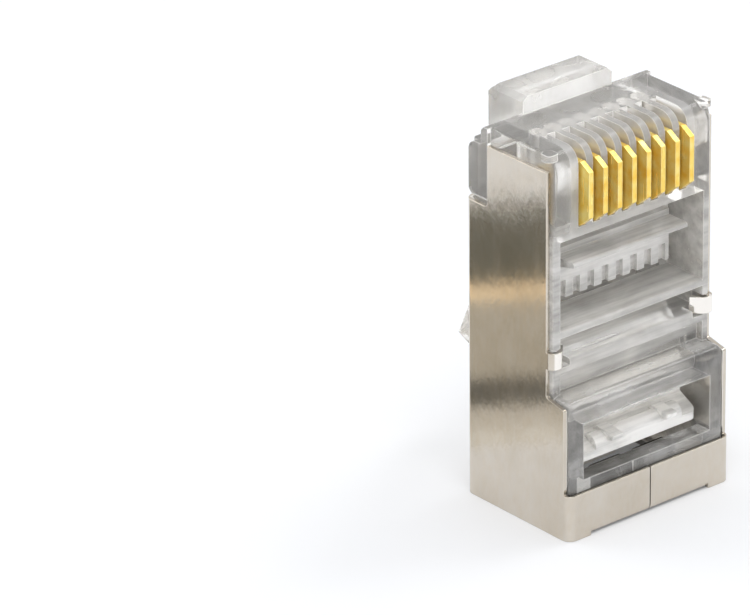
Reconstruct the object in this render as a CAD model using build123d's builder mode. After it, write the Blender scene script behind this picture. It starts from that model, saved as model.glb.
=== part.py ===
"""Shielded eight-contact modular plug, standing on its cable end with its nose up.

+Z runs from the cable entry to the nose. The contact side faces -Y and the latch side +Y.
The origin is the centre of the shield's rim, on the plane that the rim stands on.
Depths are counted from the outer face of the contact side, heights from the rim, in millimetres.
"""

import os
from math import cos, radians, sin

from build123d import *

# Shield: one sheet, folded to a box that is open at the nose and at the cable entry
shield_width = 11.7
shield_depth = 8.46
sheet = 0.25
corner_radius = 0.55
fold_radius = 0.45
side_top = 21.05
latch_wall_top = 17.5
latch_notch_inset = 1.88
notch_round = 0.3
flap_height = 2.68
seam_gap = 0.08
nose_edge_depth = 1.85
edge_step_low = 7.7
edge_step_high = 8.0
edge_round = 0.15

# Lip folded in from the latch wall, and the two tabs folded in from the contact side
lip_depth = 1.9
lip_side_margin = 1.15
lip_slant = 1.35
tab_depth = 2.0
tab_height = 2.9
tab_side_margin = 1.6
tab_slant = 1.3
tab_gap = 0.3
tab_round = 0.45

# Hooks at the side edges, bent round the moulding and into its narrow window
hook_height = 0.97
hook_bottom = 9.68
hook_front = 1.35
hook_width = 1.1
hook_end_depth = 2.1
hook_gap = 0.1

# Moulded housing
seat_gap = 0.05
step_top = 8.03
step_round = 0.5
nose_front = 1.57
nose_back_inset = 1.01
nose_top = 22.0
nose_round = 1.0
nose_back_chamfer = 0.2
ear_width = 0.75
ear_depth = 0.75
ear_height = 0.4
ear_setback = 0.15
ear_round = 0.22
nose_corner_round = 0.12
corner_round = 0.3
foot_chamfer = 0.2

# Ledge behind the nose, above the shield's latch wall
ledge_gap = 0.35
ledge_top = 20.97
ledge_round = 0.58
ledge_chamfer = 0.25

# Cable chamber and the throat that leads to the wires
chamber_wall = 1.0
chamber_front_wall = 1.0
chamber_back_wall = 0.96
beam_depth = 2.92
throat_front = 4.42
throat_height = 13.83
throat_clearance = 0.15

# Windows in the contact side, from the cable end to the nose
window_wall = 0.45
sill_top = 3.29
beam_bottom = 6.58
groove_top = 9.14
groove_depth = 0.45
ledge_lip_top = 9.96
crossbar_bottom = 11.31
crossbar_top = 11.7
window_top = 16.92
bar_round = 0.15

# Comb of slots in the nose
contact_count = 8
contact_pitch = 1.02
slot_clearance = 0.12
slot_floor_gap = 0.05
slot_mouth_depth = 4.06
wire_diameter = 0.94
wire_wall = 0.18
wire_end = 21.18

# Contacts
blade_thickness = 0.32
blade_proud = 0.7
blade_bottom = 17.5
blade_top = 21.18
blade_chamfer_low = 0.63
blade_chamfer_high = 0.42
blade_shoulder = 3.17
tine_reach = 1.0
tine_inset = 0.82
tine_half = 0.4

# Living hinges: a round edge that turns against the moulding
hinge_gap = 0.02
clamp_hinge_radius = 0.35
relief_hinge_radius = 0.3

# Conductor clamp in the upper window
clamp_side_gap = 0.5
clamp_lip_depth = 1.68
clamp_lip_top = 15.33
clamp_lip_thickness = 0.25
clamp_lip_rise = 0.4
clamp_face_depth = 3.17
clamp_bottom = 12.67
clamp_foot_height = 0.97
clamp_foot_depth = 4.32
clamp_back_depth = 4.03
clamp_rib_width = 0.5
clamp_rib_depth = 0.3
clamp_rib_height = 1.02

# Strain relief in the lower window
relief_side_gap = 0.35
relief_front = 0.95
relief_front_top = 4.37
relief_slope = 0.512
relief_thickness = 0.45
relief_round = 0.4
relief_bar_margin = 1.1
relief_bar_radius = 0.6
relief_bar_depth = 1.53
relief_bar_height = 4.48
gusset_width = 0.7
gusset_spacing = 3.9
gusset_back = 2.2
gusset_crest_depth = 1.8
gusset_crest = 5.25
gusset_front = 0.42
gusset_front_top = 5.1
gusset_face = 0.3
gusset_lean = 0.1

# Latch and its root block
root_width = 6.3
root_sink = 0.35
root_overhang = 0.65
root_top = 23.0
root_chamfer = 0.5
root_side_chamfer = 0.3
root_rise = 0.35
latch_hinge_stand = 0.49
latch_hinge_height = 19.68
latch_thickness = 1.1
latch_seat_gap = 0.03
lever_width = 3.2
lever_angles = (20.5, 13.0, 24.0)
root_length = 6.22
middle_length = 5.27
tip_length = 3.04
lever_bend_radius = 2.0
shoulder_length = 5.74
wing_start_length = 0.87
wing_ramp_length = 1.55
wing_step = 0.25
tip_recess_border = 0.3
tip_recess_depth = 0.25
lever_round = 0.12

# Sizes that follow from the ones above
body_width = shield_width - 2 * (sheet + seat_gap)
step_front = sheet + seat_gap
body_back = shield_depth - sheet - seat_gap
nose_back = body_back - nose_back_inset
latch_notch_depth = shield_depth - latch_notch_inset
latch_hinge_depth = shield_depth + latch_hinge_stand
root_front = nose_back - root_sink
root_back = latch_hinge_depth + root_overhang
lip_outer_width = shield_width - 2 * lip_side_margin
lip_inner_width = lip_outer_width - 2 * lip_slant
tab_outer_width = shield_width - 2 * tab_side_margin
tab_inner_width = tab_outer_width - 2 * tab_slant
foot = sheet + seat_gap
flap_edge_depth = fold_radius
fold_centre_radius = fold_radius - sheet / 2
ledge_bottom = latch_wall_top + ledge_gap
ledge_front = latch_notch_depth + seat_gap
ledge_width = shield_width - 2 * seat_gap
chamber_width = body_width - 2 * chamber_wall
chamber_front = step_front + chamber_front_wall
chamber_back = body_back - chamber_back_wall
window_width = body_width - 2 * window_wall
clamp_width = chamber_width - 2 * clamp_side_gap
relief_width = chamber_width - 2 * relief_side_gap
relief_bar_width = relief_width - 2 * relief_bar_margin
slot_width = blade_thickness + 2 * slot_clearance
slot_bottom = blade_bottom - slot_floor_gap
wire_depth = throat_front + wire_wall + wire_diameter / 2
throat_back = wire_depth + wire_diameter / 2 + throat_clearance
slot_depth = wire_depth + wire_diameter / 2
blade_front = nose_front - blade_proud
clamp_hinge_depth = throat_front - hinge_gap - clamp_hinge_radius
clamp_hinge_height = clamp_lip_top - hinge_gap
relief_hinge_depth = beam_depth - relief_hinge_radius
relief_hinge_height = beam_bottom - hinge_gap - relief_hinge_radius
latch_radius = latch_thickness / 2
clear = 2.0
match = 0.01

# Working planes: the side plane has depth and height as its axes, a level has width and depth
side_plane = Plane(origin=(0, -shield_depth / 2, 0), x_dir=(0, 1, 0), z_dir=(1, 0, 0))


def level(height):
    """The horizontal plane at a height, with its second axis counted from the contact side."""
    return Plane(origin=(0, -shield_depth / 2, height))


def corner(sketch, across, up):
    """The sketch's vertex nearest to a point of its own plane."""
    return sketch.vertices().sort_by_distance((across, up))[0]


def rails(part, depth, height):
    """The part's edges across the width at a depth and a height."""
    across = part.edges().filter_by(Axis.X)
    at_depth = across.filter_by(lambda e: abs(e.center().Y + shield_depth / 2 - depth) < match)
    return at_depth.filter_by(lambda e: abs(e.center().Z - height) < match)


# Slots of the comb, open to the wires at the blades' height, each with its bottom, top and depth
slots = (
    (slot_bottom, blade_top + slot_floor_gap, slot_depth),
    (blade_top, nose_top + clear, slot_mouth_depth),
)

# Windows of the contact side, each with its width, bottom, top and depth
windows = (
    (chamber_width, sill_top, beam_bottom, chamber_front),
    (window_width, step_top, groove_top, nose_front + groove_depth),
    (window_width, ledge_lip_top, crossbar_bottom, throat_front),
    (window_width, crossbar_top, window_top, throat_front),
)

# Housing: the moulding with its nose, step, chamber, windows, comb and wire channels
with BuildPart() as housing:
    with BuildSketch(side_plane) as outline:
        with BuildLine():
            Polyline(
                (step_front, foot),
                (step_front, step_top),
                (nose_front, step_top),
                (nose_front, nose_top),
                (nose_back, nose_top),
                (nose_back, ledge_top),
                (body_back, ledge_top),
                (body_back, foot),
                close=True,
            )
        make_face()
        chamfer([corner(outline, step_front, foot), corner(outline, body_back, foot)], foot_chamfer)
        fillet(corner(outline, step_front, step_top), step_round)
        fillet(corner(outline, nose_front, nose_top), nose_round)
        chamfer(corner(outline, nose_back, nose_top), nose_back_chamfer)
    extrude(amount=body_width / 2, both=True)

    uprights = housing.edges().filter_by(Axis.Z)
    nose_uprights = uprights.filter_by(lambda e: e.center().Z > step_top and e.center().Y < 0)
    fillet(nose_uprights, nose_corner_round)
    fillet(uprights.filter_by(lambda e: e.center().Z < step_top), corner_round)
    fillet(uprights.filter_by(lambda e: e.center().Y > body_back - shield_depth / 2 - match), corner_round)

    with BuildSketch(side_plane) as ledge_outline:
        with BuildLine():
            Polyline(
                (ledge_front, ledge_bottom),
                (ledge_front, nose_top),
                (nose_back, nose_top),
                (nose_back, ledge_top),
                (body_back, ledge_top),
                (body_back, ledge_bottom),
                close=True,
            )
        make_face()
        chamfer(corner(ledge_outline, nose_back, nose_top), nose_back_chamfer)
        fillet(corner(ledge_outline, body_back, ledge_top), ledge_round)
        chamfer(corner(ledge_outline, body_back, ledge_bottom), ledge_chamfer)
    extrude(amount=ledge_width / 2, both=True)

    # Ears at the front corners of the nose, above the shield's sides
    with BuildSketch(level(nose_top - ear_height)):
        with Locations((0, nose_front + ear_setback + ear_depth / 2)):
            with GridLocations(ledge_width - ear_width, 0, 2, 1):
                RectangleRounded(ear_width, ear_depth, ear_round)
    extrude(amount=ear_height)

    with BuildSketch(side_plane) as root_outline:
        with BuildLine():
            Polyline(
                (root_front, latch_hinge_height),
                (root_front, root_top),
                (root_back, root_top),
                (root_back, latch_hinge_height + root_rise),
                (latch_hinge_depth, latch_hinge_height),
                close=True,
            )
        make_face()
        chamfer(corner(root_outline, root_back, root_top), root_chamfer)
    extrude(amount=root_width / 2, both=True)
    root_roof = housing.faces().sort_by(Axis.Z)[-1]
    chamfer(root_roof.edges().filter_by(Axis.Y), root_side_chamfer)

    with BuildSketch(side_plane):
        with Locations((latch_hinge_depth, latch_hinge_height)):
            Circle(latch_radius + latch_seat_gap)
    extrude(amount=shield_width, both=True, mode=Mode.SUBTRACT)

    with BuildSketch(side_plane):
        with BuildLine():
            Polyline(
                (chamber_front, foot - clear),
                (chamber_front, beam_bottom),
                (beam_depth, beam_bottom),
                (throat_front, crossbar_bottom),
                (throat_front, throat_height),
                (throat_back, throat_height),
                (chamber_back, beam_bottom),
                (chamber_back, foot - clear),
                close=True,
            )
        make_face()
    extrude(amount=chamber_width / 2, both=True, mode=Mode.SUBTRACT)

    for width, bottom, top, back in windows:
        with BuildSketch(level(bottom)):
            with Locations((0, (back - clear) / 2)):
                Rectangle(width, back + clear)
        extrude(amount=top - bottom, mode=Mode.SUBTRACT)

    for bottom, top, back in slots:
        with BuildSketch(level(bottom)):
            with GridLocations(contact_pitch, 0, contact_count, 1):
                with Locations((0, (back - clear) / 2)):
                    Rectangle(slot_width, back + clear)
        extrude(amount=top - bottom, mode=Mode.SUBTRACT)

    with BuildSketch(level(throat_height)):
        with Locations((0, wire_depth)):
            with GridLocations(contact_pitch, 0, contact_count, 1):
                Circle(wire_diameter / 2)
    extrude(amount=wire_end - throat_height, mode=Mode.SUBTRACT)

    with BuildSketch(level(hook_bottom - hook_gap)):
        with Locations((-shield_width / 2, 0), (shield_width / 2, 0)):
            Rectangle(2 * (hook_width + hook_gap + sheet), 2 * (hook_end_depth + hook_gap + sheet))
    extrude(amount=hook_height + 2 * hook_gap, mode=Mode.SUBTRACT)

    fillet(rails(housing.part, nose_front, ledge_lip_top), bar_round)
    fillet(rails(housing.part, nose_front, groove_top), bar_round)
    fillet(rails(housing.part, nose_front, crossbar_top), bar_round)
housing.part.label = "housing"


# Latch: the lever with its round root, its wings and its kinked free end
def along_lever(distance, offset):
    """A point beside the straight root part of the lever."""
    tilt = radians(lever_angles[0])
    depth = latch_hinge_depth + distance * sin(tilt) + offset * cos(tilt)
    height = latch_hinge_height - distance * cos(tilt) + offset * sin(tilt)
    return depth, height


def walk(start, length, angle):
    """The end of a stretch of lever that leaves start at an angle from straight down."""
    return start[0] + length * sin(radians(angle)), start[1] - length * cos(radians(angle))


hinge_point = (latch_hinge_depth, latch_hinge_height)
first_bend = walk(hinge_point, root_length, lever_angles[0])
second_bend = walk(first_bend, middle_length, lever_angles[1])
free_end = walk(second_bend, tip_length, lever_angles[2])

with BuildPart() as latch:
    with BuildSketch(side_plane):
        with BuildLine():
            FilletPolyline(hinge_point, first_bend, second_bend, free_end, radius=lever_bend_radius)
        trace(line_width=latch_thickness)
    extrude(amount=lever_width / 2, both=True)
    fillet(latch.faces().filter_by(Axis.X).edges(), lever_round)

    with BuildSketch(side_plane):
        with Locations(hinge_point):
            Circle(latch_radius)
        with BuildLine():
            Polyline(
                along_lever(0, latch_radius),
                along_lever(wing_start_length, latch_radius),
                along_lever(wing_ramp_length, 0),
                along_lever(shoulder_length, wing_step),
                along_lever(shoulder_length, -latch_radius),
                along_lever(0, -latch_radius),
                close=True,
            )
        make_face()
    extrude(amount=root_width / 2, both=True)
    wing_ends = latch.faces().filter_by(lambda f: abs(f.center().X) > root_width / 2 - match)
    fillet(wing_ends.edges(), lever_round)

    end_face = latch.faces().sort_by_distance((0, free_end[0] - shield_depth / 2, free_end[1]))[0]
    with BuildSketch(end_face):
        Rectangle(
            lever_width - 2 * tip_recess_border,
            latch_thickness - 2 * tip_recess_border,
            rotation=0 if Plane(end_face).x_dir.cross(Vector(1, 0, 0)).length < match else 90,
        )
    extrude(amount=-tip_recess_depth, mode=Mode.SUBTRACT)
latch.part.label = "latch"


# Conductor clamp: a lip, a ribbed face and a foot, hinged at its back edge
with BuildPart() as conductor_clamp:
    with BuildSketch(side_plane):
        with BuildLine():
            Polyline(
                (clamp_face_depth, clamp_hinge_height + clamp_hinge_radius),
                (clamp_hinge_depth, clamp_hinge_height + clamp_hinge_radius),
                (clamp_hinge_depth, clamp_hinge_height - clamp_hinge_radius),
                (clamp_back_depth, clamp_hinge_height - clamp_hinge_radius),
                (clamp_back_depth, clamp_bottom + clamp_foot_height),
                (clamp_foot_depth, clamp_bottom + clamp_foot_height),
                (clamp_foot_depth, clamp_bottom),
                (clamp_face_depth, clamp_bottom),
                close=True,
            )
        make_face()
        with Locations((clamp_hinge_depth, clamp_hinge_height)):
            Circle(clamp_hinge_radius)
    extrude(amount=clamp_width / 2, both=True)

    with BuildSketch(side_plane):
        with BuildLine():
            Polyline(
                (clamp_lip_depth, clamp_lip_top),
                (clamp_hinge_depth, clamp_lip_top),
                (clamp_hinge_depth, clamp_lip_top - clamp_lip_thickness - clamp_lip_rise),
                (clamp_face_depth, clamp_lip_top - clamp_lip_thickness - clamp_lip_rise),
                (clamp_lip_depth, clamp_lip_top - clamp_lip_thickness),
                close=True,
            )
        make_face()
    extrude(amount=clamp_width / 2, both=True)
    fillet(rails(conductor_clamp.part, clamp_lip_depth, clamp_lip_top), clamp_lip_thickness / 2)

    with BuildSketch(level(clamp_bottom)):
        with Locations((0, clamp_face_depth)):
            with GridLocations(contact_pitch, 0, contact_count, 1):
                Rectangle(clamp_rib_width, 2 * clamp_rib_depth)
    extrude(amount=clamp_rib_height, mode=Mode.SUBTRACT)
conductor_clamp.part.label = "conductor_clamp"


# Strain relief: a sloping plate on a hinged arm, with a round bar and two gussets
def plate_top(depth):
    """The height of the plate's upper face at a depth."""
    return relief_front_top + relief_slope * (depth - relief_front)


relief_arm_front = relief_hinge_depth - relief_hinge_radius
relief_arm_back = relief_hinge_depth + relief_hinge_radius

with BuildPart() as strain_relief:
    with BuildSketch(side_plane):
        with BuildLine():
            Polyline(
                (relief_arm_front, relief_hinge_height),
                (relief_arm_front, plate_top(relief_arm_front)),
                (relief_front, relief_front_top),
                (relief_front, relief_front_top - relief_thickness),
                (relief_arm_back, plate_top(relief_arm_back) - relief_thickness),
                (relief_arm_back, relief_hinge_height),
                close=True,
            )
        make_face()
        with Locations((relief_hinge_depth, relief_hinge_height)):
            Circle(relief_hinge_radius)
    extrude(amount=relief_width / 2, both=True)
    plate_corners = strain_relief.edges().filter_by(Axis.Z).filter_by(
        lambda e: abs(e.center().Y + shield_depth / 2 - relief_front) < match
    )
    fillet(plate_corners, relief_round)

    with BuildSketch(side_plane):
        with Locations((relief_bar_depth, relief_bar_height)):
            Circle(relief_bar_radius)
    extrude(amount=relief_bar_width / 2, both=True)

    for place in (-gusset_spacing / 2, gusset_spacing / 2):
        with BuildSketch(side_plane.offset(place)):
            with BuildLine():
                Polyline(
                    (gusset_back, plate_top(gusset_back) - relief_thickness / 2),
                    (gusset_crest_depth, gusset_crest),
                    (gusset_front, gusset_front_top),
                    (gusset_front + gusset_lean, gusset_front_top - gusset_face),
                    (relief_bar_depth, relief_bar_height),
                    close=True,
                )
            make_face()
        extrude(amount=gusset_width / 2, both=True)
strain_relief.part.label = "strain_relief"


# Shield: a folded tube with its contact side opened above the flaps
lip_wall = shield_depth - sheet / 2
lip_fold = ((lip_wall, 2 * fold_radius), (lip_wall, sheet / 2), (shield_depth - lip_depth, sheet / 2))
tab_wall = tab_depth - sheet / 2
tab_fold = (
    (sheet / 2, 2 * fold_radius),
    (sheet / 2, sheet / 2),
    (tab_wall, sheet / 2),
    (tab_wall, tab_height),
)

with BuildPart() as shield:
    with BuildSketch():
        RectangleRounded(shield_width, shield_depth, corner_radius)
        offset(amount=-sheet, mode=Mode.SUBTRACT)
    extrude(amount=side_top)

    with BuildSketch(side_plane) as opening:
        with BuildLine():
            Polyline(
                (-clear, flap_height),
                (flap_edge_depth, flap_height),
                (flap_edge_depth, edge_step_low),
                (nose_edge_depth, edge_step_high),
                (nose_edge_depth, side_top + clear),
                (-clear, side_top + clear),
                close=True,
            )
        make_face()
        fillet(corner(opening, flap_edge_depth, edge_step_low), edge_round)
        fillet(corner(opening, nose_edge_depth, edge_step_high), edge_round)
    extrude(amount=shield_width, both=True, mode=Mode.SUBTRACT)

    with BuildSketch(side_plane) as notch:
        with BuildLine():
            Polyline(
                (latch_notch_depth, latch_wall_top),
                (latch_notch_depth, side_top + clear),
                (shield_depth + clear, side_top + clear),
                (shield_depth + clear, latch_wall_top),
                close=True,
            )
        make_face()
        fillet(corner(notch, latch_notch_depth, latch_wall_top), notch_round)
    extrude(amount=shield_width, both=True, mode=Mode.SUBTRACT)

    # Relief for the two folds at the cable entry, then the folded strips themselves
    with BuildSketch():
        with Locations((0, shield_depth / 2)):
            Rectangle(lip_outer_width, 2 * fold_radius)
        with Locations((0, -shield_depth / 2)):
            Rectangle(tab_outer_width, 2 * fold_radius)
    extrude(amount=fold_radius, mode=Mode.SUBTRACT)

    for points, width in ((lip_fold, lip_outer_width), (tab_fold, tab_outer_width)):
        with BuildSketch(side_plane):
            with BuildLine():
                FilletPolyline(*points, radius=fold_centre_radius)
            trace(line_width=sheet)
        extrude(amount=width / 2, both=True)

    # Slanted ends of the lip and of the tabs
    with BuildSketch(Plane.XY):
        with BuildLine():
            Polyline(
                (lip_outer_width / 2, shield_depth / 2 - fold_radius),
                (lip_inner_width / 2, shield_depth / 2 - lip_depth),
                (lip_inner_width / 2, shield_depth / 2 - lip_depth - sheet),
                (lip_outer_width / 2 + match, shield_depth / 2 - lip_depth - sheet),
                (lip_outer_width / 2 + match, shield_depth / 2 - fold_radius),
                close=True,
            )
        make_face()
        with BuildLine():
            Polyline(
                (tab_outer_width / 2, fold_radius - shield_depth / 2),
                (tab_inner_width / 2, tab_depth - shield_depth / 2 - fold_radius),
                (tab_inner_width / 2, tab_depth - shield_depth / 2 + sheet),
                (tab_outer_width / 2 + match, tab_depth - shield_depth / 2 + sheet),
                (tab_outer_width / 2 + match, fold_radius - shield_depth / 2),
                close=True,
            )
        make_face()
        mirror(about=Plane.YZ)
    extrude(amount=tab_height + clear, mode=Mode.SUBTRACT)

    # Seam between the flaps, widened between the two tabs
    with BuildSketch(Plane.XY):
        with Locations((0, -shield_depth / 2)):
            Rectangle(seam_gap, 2 * (tab_depth + sheet))
    extrude(amount=tab_height + clear, mode=Mode.SUBTRACT)
    with BuildSketch(Plane.XZ.offset(shield_depth / 2 - tab_depth - sheet)):
        with BuildLine():
            Polyline(
                (0, fold_radius),
                (tab_gap / 2 + seam_gap, tab_height + sheet),
                (-tab_gap / 2 - seam_gap, tab_height + sheet),
                close=True,
            )
        make_face()
    extrude(amount=2 * sheet + match, mode=Mode.SUBTRACT)
    tab_ends = shield.edges().filter_by(Axis.Y).filter_by(
        lambda e: abs(e.center().Z - tab_height) < match
    )
    fillet(tab_ends, tab_round)

    # Hooks, bent from the side edges round the front of the moulding
    side_wall = shield_width / 2 - sheet / 2
    with BuildSketch(level(hook_bottom)):
        with BuildLine():
            FilletPolyline(
                (-side_wall, nose_edge_depth + sheet),
                (-side_wall, hook_front + sheet / 2),
                (-side_wall + hook_width / 2, hook_front + sheet / 2),
                (-side_wall + hook_width, hook_end_depth),
                radius=fold_centre_radius,
            )
        trace(line_width=sheet)
        mirror(about=Plane.YZ)
    extrude(amount=hook_height)
shield.part.label = "shield"


# Contacts: flat blades, each with a proud edge and two piercing tines
def build_contact(place):
    """One blade at its place across the width."""
    tine_back = blade_shoulder + tine_reach
    with BuildPart() as contact:
        with BuildSketch(side_plane.offset(place)):
            with BuildLine():
                Polyline(
                    (blade_front, blade_bottom + blade_chamfer_low),
                    (nose_front, blade_bottom),
                    (blade_shoulder, blade_bottom),
                    (blade_shoulder, blade_bottom + tine_inset - tine_half),
                    (tine_back, blade_bottom + tine_inset),
                    (blade_shoulder, blade_bottom + tine_inset + tine_half),
                    (blade_shoulder, blade_top - tine_inset - tine_half),
                    (tine_back, blade_top - tine_inset),
                    (blade_shoulder, blade_top - tine_inset + tine_half),
                    (blade_shoulder, blade_top),
                    (nose_front, blade_top),
                    (blade_front, blade_top - blade_chamfer_high),
                    close=True,
                )
            make_face()
        extrude(amount=blade_thickness / 2, both=True)
    return contact.part


first_place = -(contact_count - 1) * contact_pitch / 2
contacts = []
for number in range(contact_count):
    contact_part = build_contact(first_place + number * contact_pitch)
    contact_part.label = f"contact_{number + 1}"
    contacts.append(contact_part)

os.makedirs("parts", exist_ok=True)
for piece in [housing.part, latch.part, conductor_clamp.part, strain_relief.part, shield.part, *contacts]:
    export_step(piece, f"parts/{piece.label}.step")
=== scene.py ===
import math

import bpy
from mathutils import Matrix, Vector

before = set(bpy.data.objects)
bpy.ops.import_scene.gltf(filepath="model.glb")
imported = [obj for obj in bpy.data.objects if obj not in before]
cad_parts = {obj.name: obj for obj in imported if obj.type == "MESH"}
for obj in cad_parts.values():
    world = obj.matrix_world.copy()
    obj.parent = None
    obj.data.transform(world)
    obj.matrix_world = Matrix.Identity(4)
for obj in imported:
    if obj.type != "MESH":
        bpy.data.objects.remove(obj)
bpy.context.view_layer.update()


scene = bpy.context.scene

WHITE = (1.0, 1.0, 1.0)
BLACK = (0.0, 0.0, 0.0)

# The camera, fitted to the shield's edges in the photograph. All lengths in this script are in metres,
# apart from the sensor and the lens, which are in millimetres.
AZIMUTH = math.radians(-39.694)
ELEVATION = math.radians(25.285)
ROLL = math.radians(-0.629)
CAMERA_PLACE = (-0.220608, -0.246975, 0.167091)
CAMERA_RANGE = (0.005, 20.0)
SENSOR = 36.0
LENS = 327.42


def add_camera():
    """The photograph's camera, turned by its azimuth and elevation and rolled about its own axis."""
    back = Vector((
        math.sin(AZIMUTH) * math.cos(ELEVATION),
        -math.cos(AZIMUTH) * math.cos(ELEVATION),
        math.sin(ELEVATION),
    ))
    level_right = Vector((math.cos(AZIMUTH), math.sin(AZIMUTH), 0.0))
    level_up = back.cross(level_right)
    right = level_right * math.cos(ROLL) + level_up * math.sin(ROLL)
    up = level_up * math.cos(ROLL) - level_right * math.sin(ROLL)
    data = bpy.data.cameras.new("camera")
    data.sensor_fit = "HORIZONTAL"
    data.sensor_width = SENSOR
    data.lens = LENS
    data.clip_start, data.clip_end = CAMERA_RANGE
    camera = bpy.data.objects.new("camera", data)
    turn = Matrix((right, up, back)).transposed().to_4x4()
    camera.matrix_world = Matrix.Translation(CAMERA_PLACE) @ turn
    scene.collection.objects.link(camera)
    scene.camera = camera


# Where most of a noise texture's values lie
NOISE_RANGE = (0.3, 0.7)
# The dot product of the true normal and the bevelled one, on a flat face and on a full edge
FLAT_DOT = 0.99
EDGE_DOT = 0.8
BEVEL_SAMPLES = 6


class Nodes:
    """Adds the nodes of one shader tree, and fills and links their inputs."""

    def __init__(self, tree):
        self.tree = tree

    def feed(self, socket, value):
        """Give a socket another node's output, a colour, a vector or a number."""
        if isinstance(value, bpy.types.NodeSocket):
            self.tree.links.new(value, socket)
        elif socket.type == "RGBA":
            socket.default_value = (*value, 1.0)
        else:
            socket.default_value = value

    def fill(self, node, inputs):
        """Feed several inputs of a node, found by name or by number."""
        for key, value in inputs.items():
            self.feed(node.inputs[key], value)

    def shade(self, inputs):
        """Fill the inputs of the material's own shader."""
        self.fill(self.tree.nodes["Principled BSDF"], inputs)

    def add(self, kind, inputs, **settings):
        """A new node, with its settings made first and its inputs filled after them."""
        node = self.tree.nodes.new(kind)
        for name, value in settings.items():
            setattr(node, name, value)
        self.fill(node, inputs)
        return node

    def math(self, operation, first, second=0.0):
        node = self.add("ShaderNodeMath", {0: first, 1: second}, operation=operation)
        return node.outputs[0]

    def product(self, first, *others):
        """Masks and values multiplied together."""
        for other in others:
            first = self.math("MULTIPLY", first, other)
        return first

    def place(self):
        """The surface point's own x, y and z."""
        coordinates = self.add("ShaderNodeTexCoord", {})
        split = self.add("ShaderNodeSeparateXYZ", {"Vector": coordinates.outputs["Object"]})
        return split.outputs

    def side(self, coordinate, reach):
        """How far out a coordinate is on either side, as a share of its reach."""
        return self.math("DIVIDE", self.math("ABSOLUTE", coordinate), reach)

    def remap(self, value, low, high, new_low, new_high):
        """A value's range brought to a new range, and held within it."""
        node = self.add("ShaderNodeMapRange", {
            "Value": value,
            "From Min": low,
            "From Max": high,
            "To Min": new_low,
            "To Max": new_high,
        })
        return node.outputs["Result"]

    def mask(self, value, zero_at, one_at):
        """A soft step from zero to one."""
        return self.remap(value, zero_at, one_at, 0.0, 1.0)

    def vary(self, noise, low, high):
        """A noise brought to a new range."""
        return self.remap(noise, *NOISE_RANGE, low, high)

    def noise(self, scale, detail=3.0, roughness=0.5, distortion=0.0, stretch=(1.0, 1.0, 1.0)):
        """Noise in the object's own space, drawn out along an axis whose stretch is below one."""
        coordinates = self.add("ShaderNodeTexCoord", {})
        mapping = self.add("ShaderNodeMapping", {"Vector": coordinates.outputs["Object"], "Scale": stretch})
        node = self.add("ShaderNodeTexNoise", {
            "Vector": mapping.outputs["Vector"],
            "Scale": scale,
            "Detail": detail,
            "Roughness": roughness,
            "Distortion": distortion,
        })
        return node.outputs["Fac"]

    def ramp(self, value, stops):
        """A colour ramp, from the place and the colour of each stop."""
        node = self.add("ShaderNodeValToRGB", {"Fac": value})
        elements = node.color_ramp.elements
        while len(elements) < len(stops):
            elements.new(0.5)
        for element, (place, colour) in zip(elements, stops):
            element.position = place
            element.color = (*colour, 1.0)
        return node.outputs["Color"]

    def mix(self, factor, first, second):
        """Two colours mixed. Inputs 6 and 7 and output 2 are the node's sockets for colours."""
        node = self.add("ShaderNodeMix", {0: factor, 6: first, 7: second}, data_type="RGBA")
        return node.outputs[2]

    def bump(self, height, strength, distance, normal=None):
        """The normal disturbed by a height, on top of an earlier normal where one is given."""
        inputs = {"Height": height, "Strength": strength, "Distance": distance}
        if normal is not None:
            inputs["Normal"] = normal
        return self.add("ShaderNodeBump", inputs).outputs["Normal"]

    def bevel(self, radius):
        """The normal as if every edge had a small bevel."""
        node = self.add("ShaderNodeBevel", {"Radius": radius}, samples=BEVEL_SAMPLES)
        return node.outputs["Normal"]

    def edges(self, bevelled):
        """One on the edges and zero on the flats, from the normal of a bevel."""
        geometry = self.add("ShaderNodeNewGeometry", {})
        dot = self.add(
            "ShaderNodeVectorMath", {0: bevelled, 1: geometry.outputs["Normal"]}, operation="DOT_PRODUCT"
        )
        return self.mask(dot.outputs["Value"], FLAT_DOT, EDGE_DOT)


def new_material(name):
    material = bpy.data.materials.new(name)
    material.use_nodes = True
    return material, Nodes(material.node_tree)


# Nickel plate: its tones, then the colours of its specks, of the painted highlight on its edges, of the
# painted light on its inner faces and of the painted shade on its folded lips
NICKEL_TONES = (
    (0.30, (0.59, 0.53, 0.44)),
    (0.50, (0.635, 0.575, 0.49)),
    (0.72, (0.665, 0.615, 0.54)),
)
NICKEL_SPECKS = (0.66, 0.64, 0.61)
NICKEL_EDGE_HIGHLIGHT = (0.82, 0.76, 0.66)
NICKEL_INNER_PAINTED_LIGHT = (0.92, 0.885, 0.83)
NICKEL_LIPS_PAINTED_SHADE = (0.16, 0.15, 0.125)
NICKEL_SPECK_RANGE = (0.35, 0.7)
NICKEL_SPECK_SHARE = 0.26
NICKEL_EDGE_HIGHLIGHT_SHARE = 0.55
NICKEL_BEVEL = 0.00007
NICKEL_ROUGHNESS = (0.12, 0.19)
# A point is on an inner face when it lies within this share of the shield's half width and half depth
SHIELD_HALF_WIDTH = 0.00585
SHIELD_HALF_DEPTH = 0.00423
INNER_WITHIN = (0.968, 0.958)
# The folded lips, which look dark in the photograph and get a painted shade, lie in front of this y and
# below this z
LIPS_FRONT = (-0.0018, -0.0020)
LIPS_TOP = (0.0032, 0.0030)


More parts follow.
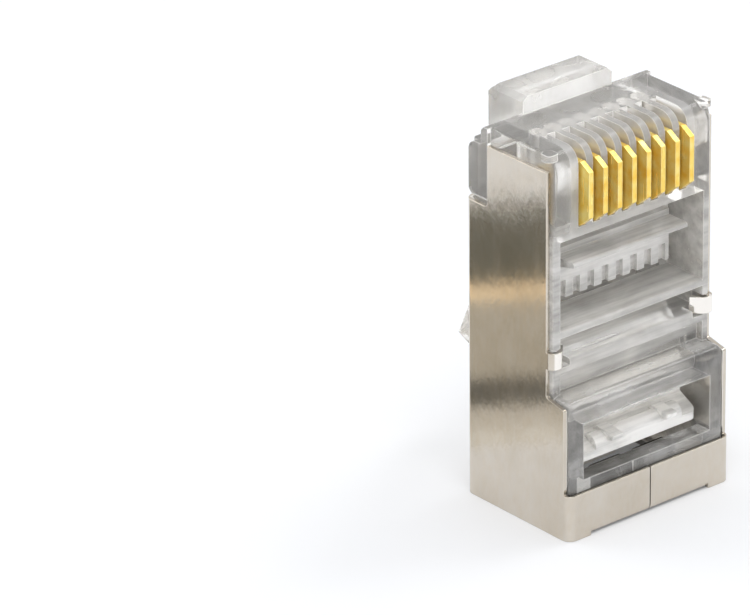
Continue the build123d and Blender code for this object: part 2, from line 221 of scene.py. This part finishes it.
def nickel():
    """Nickel plate: warm grey, cloudy, with rolled streaks, a painted highlight on its edges, painted light
    that makes its inner faces paler, and painted shade on its folded lips.
    """
    material, nodes = new_material("nickel_plate")
    clouds = nodes.noise(scale=420.0, detail=5.0, roughness=0.6, distortion=0.4)
    specks = nodes.noise(scale=5200.0, detail=2.0, stretch=(1.0, 1.0, 0.35))
    streaks = nodes.noise(scale=900.0, detail=4.0, roughness=0.65, stretch=(1.0, 1.0, 0.3))
    bevelled = nodes.bevel(NICKEL_BEVEL)

    speck_share = nodes.remap(specks, *NICKEL_SPECK_RANGE, 0.0, NICKEL_SPECK_SHARE)
    colour = nodes.mix(speck_share, nodes.ramp(clouds, NICKEL_TONES), NICKEL_SPECKS)
    # Painted highlight: a brighter colour along every edge
    colour = nodes.mix(nodes.product(nodes.edges(bevelled), NICKEL_EDGE_HIGHLIGHT_SHARE), colour, NICKEL_EDGE_HIGHLIGHT)

    x, y, z = nodes.place()
    share = nodes.math("MAXIMUM", nodes.side(x, SHIELD_HALF_WIDTH), nodes.side(y, SHIELD_HALF_DEPTH))
    # Painted light: the inner faces get a paler colour than the outside
    inner = nodes.mask(share, *INNER_WITHIN)
    # Painted shade: the folded lips' inner faces get a dark colour
    lip_shade = nodes.product(inner, nodes.mask(y, *LIPS_FRONT), nodes.mask(z, *LIPS_TOP))
    colour = nodes.mix(lip_shade, nodes.mix(inner, colour, NICKEL_INNER_PAINTED_LIGHT), NICKEL_LIPS_PAINTED_SHADE)

    normal = nodes.bump(clouds, strength=0.06, distance=0.0002, normal=bevelled)
    nodes.shade({
        "Base Color": colour,
        "Metallic": 1.0,
        "Roughness": nodes.vary(streaks, *NICKEL_ROUGHNESS),
        "Normal": nodes.bump(specks, strength=0.24, distance=0.00002, normal=normal),
    })
    return material


# Gold plate: its tones, then the colour and the strength of the painted highlight on its edges and
# chamfers.
# It is half metallic, so that it stays golden where it mirrors something dark.
GOLD_TONES = (
    (0.30, (0.98, 0.60, 0.07)),
    (0.55, (1.0, 0.75, 0.19)),
    (0.80, (1.0, 0.86, 0.34)),
)
GOLD_EDGE_HIGHLIGHT = (1.0, 0.93, 0.66)
GOLD_EDGE_HIGHLIGHT_SHARE = 0.6
GOLD_BEVEL = 0.00004
GOLD_METALLIC = 0.5
GOLD_ROUGHNESS = (0.16, 0.30)


def gold():
    """Gold plate over bronze, with stamping marks and a painted highlight on its edges and chamfers."""
    material, nodes = new_material("gold_plate")
    clouds = nodes.noise(scale=1500.0, detail=4.0)
    streaks = nodes.noise(scale=3000.0, detail=3.0, stretch=(1.0, 1.0, 0.08))
    bevelled = nodes.bevel(GOLD_BEVEL)
    # Painted highlight: a paler colour along every edge and chamfer
    edge_highlight = nodes.product(nodes.edges(bevelled), GOLD_EDGE_HIGHLIGHT_SHARE)
    nodes.shade({
        "Base Color": nodes.mix(edge_highlight, nodes.ramp(clouds, GOLD_TONES), GOLD_EDGE_HIGHLIGHT),
        "Metallic": GOLD_METALLIC,
        "Roughness": nodes.vary(streaks, *GOLD_ROUGHNESS),
        "Normal": nodes.bump(streaks, strength=0.12, distance=0.00003, normal=bevelled),
    })
    return material


# Clear plastic. Its index is under polycarbonate's 1.585, because that looks nearer to the photograph.
PLASTIC_INDEX = 1.44
PLASTIC_TONES = ((0.3, (0.995, 0.975, 0.935)), (0.7, (1.0, 0.987, 0.962)))
PLASTIC_BEVEL = 0.00012
PLASTIC_ROUGHNESS = (0.02, 0.07)
# Where its milkiness changes: each pair is the place where a region fades out and the one where it is
# full. All go by z, and the comb's sides by the share of its half width.
COMB_HALF_WIDTH = 0.00435
COMB_SIDES = (1.05, 1.0)
COMB_FOOT = (0.0166, 0.0180)
WINDOWS_TOP = (0.0180, 0.0166)
WINDOWS_FOOT = (0.0078, 0.0086)
FRAME_TOP = (0.0082, 0.0078)
# The frame's clouds grow from nothing to this milk as the flow noise goes through this range
FRAME_CLOUDS = (0.42, 0.62)
FRAME_MILK = 0.13
# How far the flow lines and the streaks change the milk
FLOW_SWING = (0.8, 1.2)
STREAK_SWING = (-0.4, 0.4)
# The milk of the edges outside the comb and inside it, a painted highlight that makes every edge a pale
# line
EDGE_HIGHLIGHT_MILK = (0.75, 0.6)
# What the comb adds to the roughness
COMB_ROUGHNESS = 0.10


def clear_plastic(name, milk, comb_milk, window_milk):
    """Moulded polycarbonate: clear and glossy, with faint flow lines, milky by place, and with a painted
    highlight of milk on its edges.
    """
    material, nodes = new_material(name)
    flow = nodes.noise(scale=260.0, detail=4.0, roughness=0.55, distortion=0.8)
    drawn = nodes.noise(scale=1300.0, detail=3.0, roughness=0.6, stretch=(0.10, 1.0, 1.0))
    ripple = nodes.noise(scale=700.0, detail=2.0, distortion=0.5)

    x, _, z = nodes.place()
    between = nodes.mask(nodes.side(x, COMB_HALF_WIDTH), *COMB_SIDES)
    comb = nodes.product(nodes.mask(z, *COMB_FOOT), between)
    windows = nodes.product(nodes.mask(z, *WINDOWS_FOOT), nodes.mask(z, *WINDOWS_TOP))
    milk_and_edge_highlight = nodes.math("ADD", nodes.product(comb, comb_milk - milk), milk)
    milk_and_edge_highlight = nodes.math("ADD", nodes.product(windows, window_milk - milk), milk_and_edge_highlight)
    frame_milk = nodes.remap(flow, *FRAME_CLOUDS, 0.0, FRAME_MILK)
    milk_and_edge_highlight = nodes.math("ADD", milk_and_edge_highlight, nodes.product(nodes.mask(z, *FRAME_TOP), frame_milk))

    # Streaks across the part, none of them in the comb
    off_comb = nodes.math("SUBTRACT", 1.0, comb)
    streaks = nodes.math("ADD", nodes.product(off_comb, nodes.vary(drawn, *STREAK_SWING)), 1.0)
    milk_and_edge_highlight = nodes.product(milk_and_edge_highlight, nodes.vary(flow, *FLOW_SWING), streaks)

    # Painted highlight: the edges are made milky, so they show as pale lines
    edges = nodes.edges(nodes.bevel(PLASTIC_BEVEL))
    edge_highlight_milk = nodes.remap(comb, 0.0, 1.0, *EDGE_HIGHLIGHT_MILK)
    milk_and_edge_highlight = nodes.math("MAXIMUM", milk_and_edge_highlight, nodes.product(edges, edge_highlight_milk))
    polish = nodes.vary(flow, *PLASTIC_ROUGHNESS)
    nodes.shade({
        "Base Color": nodes.ramp(flow, PLASTIC_TONES),
        "IOR": PLASTIC_INDEX,
        "Transmission Weight": nodes.math("SUBTRACT", 1.0, milk_and_edge_highlight),
        "Roughness": nodes.math("ADD", polish, nodes.product(comb, COMB_ROUGHNESS)),
        "Normal": nodes.bump(ripple, strength=0.05, distance=0.00015),
    })
    return material


def finish_pieces():
    """Give every CAD piece its material: gold to the contacts, and the others by name."""
    clear = clear_plastic("clear_plastic", milk=0.12, comb_milk=0.29, window_milk=0.42)
    even = clear_plastic("latch_plastic", milk=0.14, comb_milk=0.14, window_milk=0.14)
    milky = clear_plastic("milky_plastic", milk=0.92, comb_milk=0.92, window_milk=0.55)
    gold_plate = gold()
    finishes = {
        "housing": clear,
        "latch": even,
        "conductor_clamp": milky,
        "strain_relief": milky,
        "shield": nickel(),
    }
    for name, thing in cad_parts.items():
        for slot in thing.material_slots:
            slot.material = finishes.get(name, gold_plate)


# The floor, and how much it glows: where the camera or a mirror sees it, and through the clear plastic
FLOOR_REACH = 1.5
FLOOR_DROP = 0.00001
FLOOR_COLOUR = (0.92, 0.93, 0.95)
FLOOR_GLOW = 0.08
FLOOR_GLOW_THROUGH = 0.30


def add_floor():
    """A plain pale floor, nearly white to the camera apart from the shadow."""
    mesh = bpy.data.meshes.new("floor")
    points = [
        (-FLOOR_REACH, -FLOOR_REACH, 0),
        (FLOOR_REACH, -FLOOR_REACH, 0),
        (FLOOR_REACH, FLOOR_REACH, 0),
        (-FLOOR_REACH, FLOOR_REACH, 0),
    ]
    mesh.from_pydata(points, [], [(0, 1, 2, 3)])
    floor = bpy.data.objects.new("floor", mesh)
    floor.location.z = -FLOOR_DROP
    scene.collection.objects.link(floor)
    material, nodes = new_material("floor")
    path = nodes.add("ShaderNodeLightPath", {})
    seen = nodes.math("MAXIMUM", path.outputs["Is Camera Ray"], path.outputs["Is Glossy Ray"])
    through = nodes.product(path.outputs["Is Transmission Ray"], FLOOR_GLOW_THROUGH)
    nodes.shade({
        "Base Color": FLOOR_COLOUR,
        "Roughness": 0.9,
        "Specular IOR Level": 0.1,
        "Emission Color": WHITE,
        "Emission Strength": nodes.math("MAXIMUM", nodes.product(seen, FLOOR_GLOW), through),
    })
    mesh.materials.append(material)


# A folded card beside the object, seen only in its reflections, that stands for the plug which lies there
# in the photograph. It begins on the floor towards the object, where that plug's shadow falls, and goes
# up the front and back over the top. Each band has the height and the depth at which it ends, and its
# colour. A depth below zero is in front of the card's front.
CARD_MIDDLE = (-0.01445, 0.01035)
CARD_ALONG = (0.824, 0.567)
CARD_REACH = 0.010
CARD_START = (0.0001, -0.0050)
# The bands are a painted reflection of that plug: the floor beside it, its painted shadow, painted shade at
# its foot, its side, a painted highlight along its top edge, and its dark top.
CARD_BANDS = (
    (0.0001, -0.0030, (0.88, 0.86, 0.82)),
    (0.0001, 0.0, (0.74, 0.71, 0.65)),
    (0.0018, 0.0, (0.14, 0.135, 0.12)),
    (0.0066, 0.0, (0.57, 0.535, 0.465)),
    (0.0076, 0.0, (1.15, 0.92, 0.62)),
    (0.0076, 0.0107, (0.16, 0.155, 0.125)),
)


def card_row(height, depth):
    """The two ends of the card's edge at a height and a depth."""
    along = Vector((*CARD_ALONG, 0.0)) * CARD_REACH
    row = Vector((*CARD_MIDDLE, 0.0)) + Vector((-CARD_ALONG[1] * depth, CARD_ALONG[0] * depth, height))
    return [row - along, row + along]


def add_card():
    """The folded card, a painted reflection, which glows by itself and casts no shadow."""
    points = card_row(*CARD_START)
    faces = []
    mesh = bpy.data.meshes.new("card")
    for number, (height, depth, tone) in enumerate(CARD_BANDS):
        first = len(points)
        faces.append((first - 2, first - 1, first + 1, first))
        points += card_row(height, depth)
        material, nodes = new_material(f"card_{number + 1}")
        nodes.shade({
            "Base Color": BLACK,
            "Roughness": 1.0,
            "Emission Color": tone,
            "Emission Strength": 1.0,
        })
        mesh.materials.append(material)
    mesh.from_pydata(points, [], faces)
    for number, polygon in enumerate(mesh.polygons):
        polygon.material_index = number
    card = bpy.data.objects.new("card", mesh)
    scene.collection.objects.link(card)
    card.visible_camera = False
    card.visible_diffuse = False
    card.visible_transmission = False
    card.visible_shadow = False


# The sky's colours, from the horizon to overhead
SKY_TONES = (
    (0.0, WHITE),
    (0.25, (0.92, 0.92, 0.93)),
    (0.55, (0.78, 0.785, 0.795)),
    (1.0, (0.70, 0.705, 0.715)),
)


def add_world():
    """A soft studio: white at the horizon, dimmer overhead, and white wherever it is seen directly."""
    world = bpy.data.worlds.new("studio")
    world.use_nodes = True
    scene.world = world
    nodes = Nodes(world.node_tree)
    coordinates = nodes.add("ShaderNodeTexCoord", {})
    direction = nodes.add("ShaderNodeSeparateXYZ", {"Vector": coordinates.outputs["Generated"]})
    sky = nodes.ramp(direction.outputs["Z"], SKY_TONES)
    path = nodes.add("ShaderNodeLightPath", {})
    direct = nodes.math("MAXIMUM", path.outputs["Is Camera Ray"], path.outputs["Is Transmission Ray"])
    nodes.fill(world.node_tree.nodes["Background"], {
        "Color": nodes.mix(direct, sky, WHITE),
        "Strength": 1.0,
    })


# Square lamps, each with its place, its width and its power in watts
LIGHT_TARGET = (0.0, 0.0, 0.011)
LIGHTS = (
    ("key", (-0.09, -0.13, 0.36), 0.16, 0.24),
    ("second", (0.23, -0.02, 0.33), 0.14, 0.20),
    ("rim", (-0.16, 0.26, 0.20), 0.14, 0.12),
)


def add_light(name, place, width, power):
    """A square lamp, turned towards the object's middle."""
    data = bpy.data.lights.new(name, "AREA")
    data.shape = "SQUARE"
    data.size = width
    data.energy = power
    lamp = bpy.data.objects.new(name, data)
    lamp.location = place
    lamp.rotation_euler = (Vector(LIGHT_TARGET) - Vector(place)).to_track_quat("-Z", "Y").to_euler()
    scene.collection.objects.link(lamp)


add_camera()
finish_pieces()
add_floor()
add_card()
add_world()
for light in LIGHTS:
    add_light(*light)

scene.view_settings.view_transform = "Standard"
